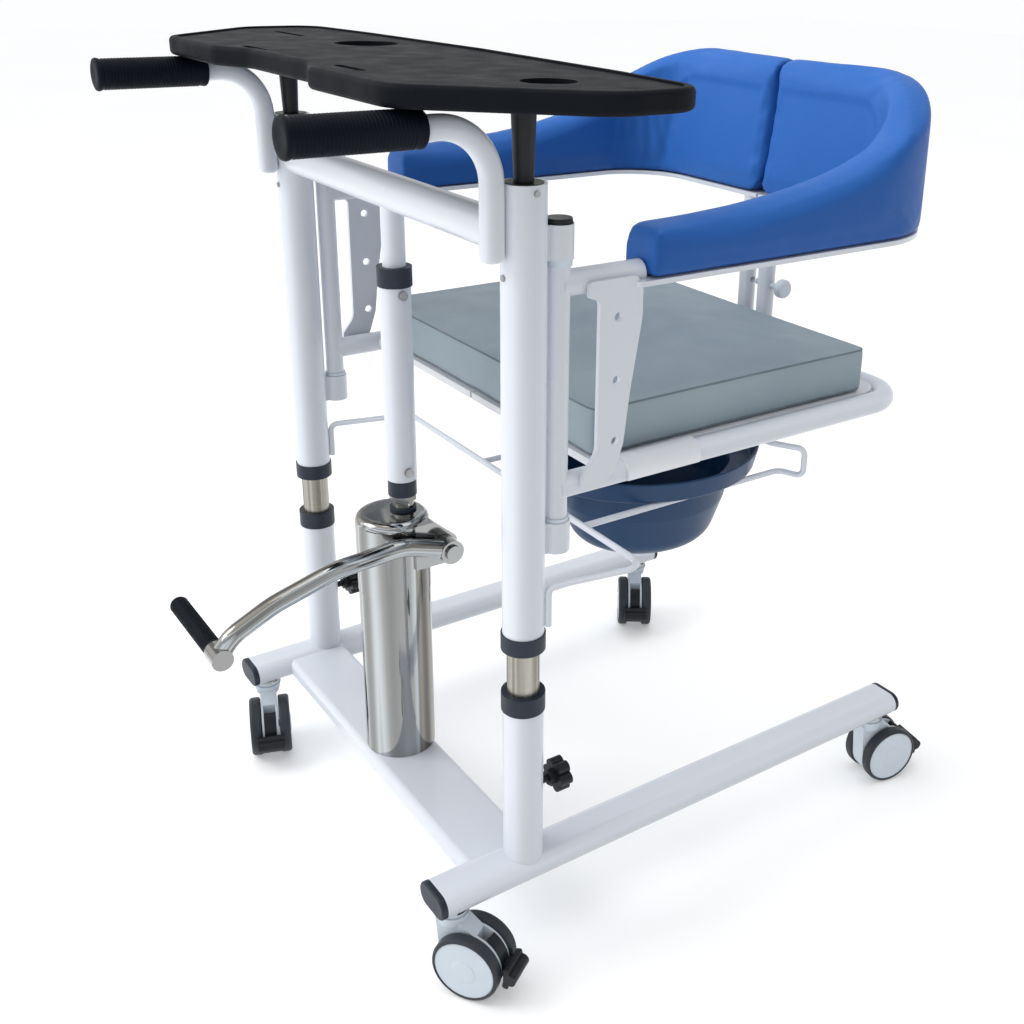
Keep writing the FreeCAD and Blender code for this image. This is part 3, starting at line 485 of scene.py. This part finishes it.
def rib_profile(radius, length, flange):
    """Outline of a ribbed sleeve, closed at its outer end, along +distance towards the open end."""
    outline = [(0, 0.001), (flange * 0.5, 0.0003), (flange - 0.003, 0.0), (flange - 0.0008, 0.0008),
               (flange, 0.0028), (flange - 0.0006, 0.0052), (radius - RIB_DEPTH, 0.0075)]
    ribs = int((length - 0.014) / RIB_PITCH)
    for i in range(ribs):
        foot = 0.008 + i * RIB_PITCH
        outline += [(radius - RIB_DEPTH, foot), (radius - 0.0001, foot + RIB_PITCH * 0.3),
                    (radius - 0.0001, foot + RIB_PITCH * 0.62), (radius - RIB_DEPTH, foot + RIB_PITCH * 0.92)]
    outline += [(radius, length - 0.004), (radius, length - 0.0015), (radius - 0.0015, length),
                (radius * 0.78, length)]
    return outline


low, high = (Vector(c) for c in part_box("handle_grips"))
grip_z = (low.z + high.z) / 2
flange_r = (high.z - low.z) / 2
for side, sign in SIDES:
    x = sign * (high.x - flange_r)
    outline = rib_profile(GRIP_R, high.y - low.y, flange_r)
    mesh = lathe(outline, (x, low.y, grip_z), (0, 1, 0))
    grip = add_object("ribbed_grip_" + side, mesh, "ribbed_rubber", "carriage")
    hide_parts("handle_grips")

low, high = (Vector(c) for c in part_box("pedal_grip"))
foot_r = (high.z - low.z) / 2
outline = rib_profile(foot_r, high.x - low.x, foot_r)
mesh = lathe(outline, (low.x, (low.y + high.y) / 2, (low.z + high.z) / 2), (1, 0, 0))
foot_grip = add_object("ribbed_foot_grip", mesh, "ribbed_rubber", "pedal")
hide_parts("pedal_grip")


# ------------------------------------------------------------ sewn seams
def seam_cord(name, path, radius, body):
    """Thin closed cord laid along a list of places."""
    curve = bpy.data.curves.new(name, "CURVE")
    curve.dimensions = "3D"
    curve.bevel_depth = radius
    curve.bevel_resolution = 2
    line = curve.splines.new("POLY")
    line.points.add(len(path) - 1)
    for point, place in zip(line.points, path):
        point.co = (*place, 1)
    line.use_cyclic_u = True
    source = bpy.data.objects.new(name + "_line", curve)
    bpy.context.collection.objects.link(source)
    mesh = bpy.data.meshes.new_from_object(source.evaluated_get(bpy.context.evaluated_depsgraph_get()))
    bpy.data.objects.remove(source)
    mesh.shade_smooth()
    return add_object(name, mesh, "seam_thread", body)


def rounded_loop(mid, half_x, half_y, corner, z, step=0.006):
    """Places along a rounded rectangle."""
    places = []
    for sx, sy, start in ((1, 1, 0), (-1, 1, 90), (-1, -1, 180), (1, -1, 270)):
        cx, cy = mid.x + sx * (half_x - corner), mid.y + sy * (half_y - corner)
        for k in range(9):
            turn = math.radians(start + k * 90 / 8)
            places.append(Vector((cx + corner * math.cos(turn), cy + corner * math.sin(turn), z)))
    dense = []
    for a, b in zip(places, places[1:] + places[:1]):
        count = max(1, int((b - a).length / step))
        dense += [a.lerp(b, k / count) for k in range(count)]
    return dense


def lay_on(obj, places, sink):
    """Move places onto the surface of an object, sunk a little below it."""
    laid = []
    for place in places:
        found, spot, normal, _ = obj.closest_point_on_mesh(place)
        laid.append(spot - normal * sink if found else place)
    for _ in range(3):
        laid = [(laid[i - 1] + laid[i] * 2 + laid[(i + 1) % len(laid)]) / 4 for i in range(len(laid))]
    return laid


# ------------------------------------------------------------ soft pieces
VOXEL = 0.004
SKIN = 0.0006


def finish_soft(obj, node, body, material):
    """Let a soft piece stand in for its CAD node."""
    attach(obj, body)
    obj.data.materials.clear()
    obj.data.materials.append(MATS[material])
    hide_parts(node)


# ------------------------------------------------------------ seat cushion
CUSHION_CORNER = 0.012
SEAM_R = 0.0011
SEAM_SINK = 0.0003
SEAM_PULL = 0.0012
SEAM_HOLD = (0.006, 0.028)      # from a sewn edge: held, free
UNDER_HOLD = (0.003, 0.02)      # from the underside: held, free
COVER_WAVES = ((0.0011, 9), (0.0006, 26))       # height, waves in a metre
SIDE_WRINKLE = 0.0007
CRISP_EDGE = (0.001, 0.010)     # from a sewn edge: crisp, soft


def seat_cushion():
    """The grey seat: a swollen cover, held flat underneath and crisp at its two sewn edges."""
    low, high = (Vector(c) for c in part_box("seat_cushion"))
    mid = (low + high) / 2
    half = (high - low) / 2
    obj = remeshed_copy("seat_cushion", "padded_seat", VOXEL, SKIN)

    def edge_reach(place):
        """Distance in from the nearest side, and down from the top."""
        across = min(half.x - abs(place.x - mid.x), half.y - abs(place.y - mid.y))
        return max(across, 0), high.z - place.z

    def held(place):
        """The sewn edges and the flat underside hardly move; the top and the sides swell."""
        seam = 1 - fade(math.hypot(*edge_reach(place)), *SEAM_HOLD)
        under = 1 - fade(place.z - low.z, *UNDER_HOLD)
        return max(0.98 * seam, under)

    inflate(obj, pressure=3.0, cap=0.006, hold=held)

    def settle(place, normal):
        """Slight unevenness of the cover, a soft top and a crisp sewn edge."""
        across, down = edge_reach(place)
        u = (place.x - mid.x) / half.x
        v = (place.y - mid.y) / half.y
        lift = fade(place.z, mid.z, high.z)
        wave = sum(height * noise.noise(place * waves) for height, waves in COVER_WAVES)
        place.z += lift * wave * fade(across, 0.004, 0.03)
        wrinkle = SIDE_WRINKLE * noise.noise(Vector((place.x * 40, place.y * 40, place.z * 9)))
        place += Vector((normal.x, normal.y, 0)) * wrinkle * (1 - lift)
        crisp = (1 - fade(across, *CRISP_EDGE)) * (1 - fade(down, *CRISP_EDGE))
        place.z += crisp * min(down, 0.003) * 0.8
        place.x -= math.copysign(SEAM_PULL * (1 - v * v) * fade(abs(u), 0.9, 1.0), u)
        place.y -= math.copysign(SEAM_PULL * (1 - u * u) * fade(abs(v), 0.9, 1.0), v)
        return place

    move_vertices(obj, settle)
    subdivide(obj)
    finish_soft(obj, "seat_cushion", "cushion", "grey_vinyl")
    for level, tag in ((high.z - 0.0012, "top"), (low.z + 0.0035, "low")):
        loop = rounded_loop(mid, half.x - 0.0008, half.y - 0.0008, CUSHION_CORNER, level)
        seam_cord("cushion_seam_" + tag, lay_on(obj, loop, SEAM_SINK), SEAM_R, "cushion")


seat_cushion()


# ------------------------------------------------------------ blue arm and back pads
DISH_HALF = 0.222
DISH_CORNER = 0.075
CELL_X = 0.008
CELL_Y = 0.016
BACK_DEPTH = 0.075
BACK_FROM = 0.16                # before the rear of the back: where its dish begins to show
BACK_FULL = 0.09                # and where it is at its full depth
BORDER_RISE = 0.0022
BORDER_EDGE = (0.030, 0.042)    # into the dish from its rim: border, dish
SPLIT_EDGE = (0.012, 0.022)     # from the split between the halves: border, dish
PAD_FOOT = (0.01, 0.03)         # above the foot: plain, shaped
FOOT_HOLD = (0.004, 0.02)       # above the foot: held, free
DISH_SINK = 0.0008
SPLIT_HALF = 0.002


def arm_pad(side):
    """One blue half of the arm and back rest, smooth and slightly swollen above its flat foot."""
    node = "armrest_pad_" + side
    low, high = (Vector(c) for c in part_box(node))
    obj = remeshed_copy(node, "moulded_pad_" + side, VOXEL, SKIN)
    smooth(obj, 5)
    inflate(obj, pressure=2.0, cap=0.003, hold=lambda place: 1 - fade(place.z - low.z, *FOOT_HOLD))
    smooth(obj, 6)
    subdivide(obj)
    crest = {}

    def column_of(place):
        """Cell of the plan that a place falls in; the back pad is taken as one cell deep."""
        along = round(place.y / CELL_Y) if place.y < high.y - BACK_DEPTH else None
        return round(place.x / CELL_X), along

    for vertex in obj.data.vertices:
        column = column_of(vertex.co)
        crest[column] = max(crest.get(column, 0), vertex.co.z)

    def dish_depth(place):
        """Distance into the dish from its rim, which runs under the crest and down the outer side."""
        below = crest.get(column_of(place), high.z) - place.z
        aside = DISH_HALF - abs(place.x)
        if below < DISH_CORNER and aside < DISH_CORNER:
            return DISH_CORNER - math.hypot(DISH_CORNER - below, DISH_CORNER - aside)
        return min(below, aside)

    def raised_border(place, normal):
        """A soft raised border round the inner face of the back, and the dish inside it."""
        back = fade(place.y, high.y - BACK_FROM, high.y - BACK_FULL)
        inward = max(0.0, -normal.y) if back > 0.5 else 0.0
        split_side = abs(place.x) - SPLIT_HALF
        border = max(1 - fade(dish_depth(place), *BORDER_EDGE), 1 - fade(split_side, *SPLIT_EDGE))
        foot = fade(place.z - low.z, *PAD_FOOT)
        return place + normal * (BORDER_RISE * border - DISH_SINK) * inward * back * foot

    move_vertices(obj, raised_border)
    smooth(obj, 3)
    obj.data.shade_smooth()
    finish_soft(obj, node, "seat_" + side, "blue_foam")


for side, _ in SIDES:
    arm_pad(side)


# ------------------------------------------------------------ floor, light and camera
def area_light(name, power, size, place, aim):
    """Softbox at a place, turned towards an aim."""
    data = bpy.data.lights.new(name, "AREA")
    data.shape = "RECTANGLE"
    data.size, data.size_y = size
    data.energy = power
    obj = bpy.data.objects.new(name, data)
    obj.location = place
    obj.rotation_euler = (Vector(aim) - Vector(place)).to_track_quat("-Z", "Y").to_euler()
    bpy.context.collection.objects.link(obj)


FLOOR_REACH = 14


def floor():
    """Plain white floor."""
    mesh = bpy.data.meshes.new("floor")
    reach = FLOOR_REACH
    mesh.from_pydata([(-reach, -reach, 0), (reach, -reach, 0), (reach, reach, 0), (-reach, reach, 0)], [],
                     [(0, 1, 2, 3)])
    obj = bpy.data.objects.new("floor", mesh)
    bpy.context.collection.objects.link(obj)
    s = Shader("floor", (0.93, 0.93, 0.93), 0.8, specular=0.1)
    s.set("Emission Color", (1, 1, 1, 1))
    s.set("Emission Strength", 0.2)
    s.vary_color(s.noise(1.2, 3), (0.915, 0.915, 0.92))
    mesh.materials.append(s.mat)


BRIGHT_SIDE = (-0.55, -0.83, 0)
BEYOND_OBJECT = (-0.81, 0.585, 0)


def world_light():
    """A white room: bright beyond the object near the horizon, brighter on one side higher up."""
    world = bpy.data.worlds.new("studio")
    bpy.context.scene.world = world
    world.use_nodes = True
    tree = world.node_tree
    toward = tree.nodes.new("ShaderNodeTexCoord").outputs["Generated"]
    split = tree.nodes.new("ShaderNodeSeparateXYZ")
    tree.links.new(toward, split.inputs["Vector"])
    mix = tree.nodes.new("ShaderNodeMix")
    mix.data_type = "FLOAT"
    horizon = map_range(tree, dot_product(tree, toward, BEYOND_OBJECT), 0.82, 1, -0.3, 0.3)
    higher = map_range(tree, dot_product(tree, toward, BRIGHT_SIDE), 0.4, 1.3, -1, 1)
    rise = map_range(tree, split.outputs["Z"], 0, 1, 0.04, 0.3)
    tree.links.new(horizon, mix.inputs["A"])
    tree.links.new(higher, mix.inputs["B"])
    tree.links.new(rise, mix.inputs["Factor"])
    back = tree.nodes["Background"]
    back.inputs["Color"].default_value = (0.985, 0.992, 1.0, 1)
    tree.links.new(mix.outputs["Result"], back.inputs["Strength"])


CAMERA_AZ = math.radians(54.25)
CAMERA_EL = math.radians(21.29)
CAMERA_ROLL = math.radians(1.34)
CAMERA_PLACE = Vector((1.1586, -0.570 + COLUMN_Y, 1.0272))
SENSOR = 36
LENS = 43.54
SHIFT = (-0.0802, -0.0834)


def camera():
    """Camera at the place and angle of the reference view."""
    back = Vector((math.sin(CAMERA_AZ) * math.cos(CAMERA_EL), -math.cos(CAMERA_AZ) * math.cos(CAMERA_EL),
                   math.sin(CAMERA_EL)))
    level = Vector((math.cos(CAMERA_AZ), math.sin(CAMERA_AZ), 0))
    right = level * math.cos(CAMERA_ROLL) + back.cross(level) * math.sin(CAMERA_ROLL)
    data = bpy.data.cameras.new("camera")
    data.sensor_width = SENSOR
    data.lens = LENS
    data.shift_x, data.shift_y = SHIFT
    obj = bpy.data.objects.new("camera", data)
    turn = Matrix((right, back.cross(right), back)).transposed()
    obj.matrix_world = Matrix.Translation(CAMERA_PLACE) @ turn.to_4x4()
    bpy.context.collection.objects.link(obj)
    bpy.context.scene.camera = obj


floor()
world_light()
area_light("key", 34, (1.6, 1.6), (-1.2, -2.4, 2.6), (0, 0, 0.5))
area_light("top", 20, (2.4, 2.4), (0.3, 0.2, 3.4), (0, 0, 0.4))
bpy.context.scene.view_settings.view_transform = "Standard"
camera()
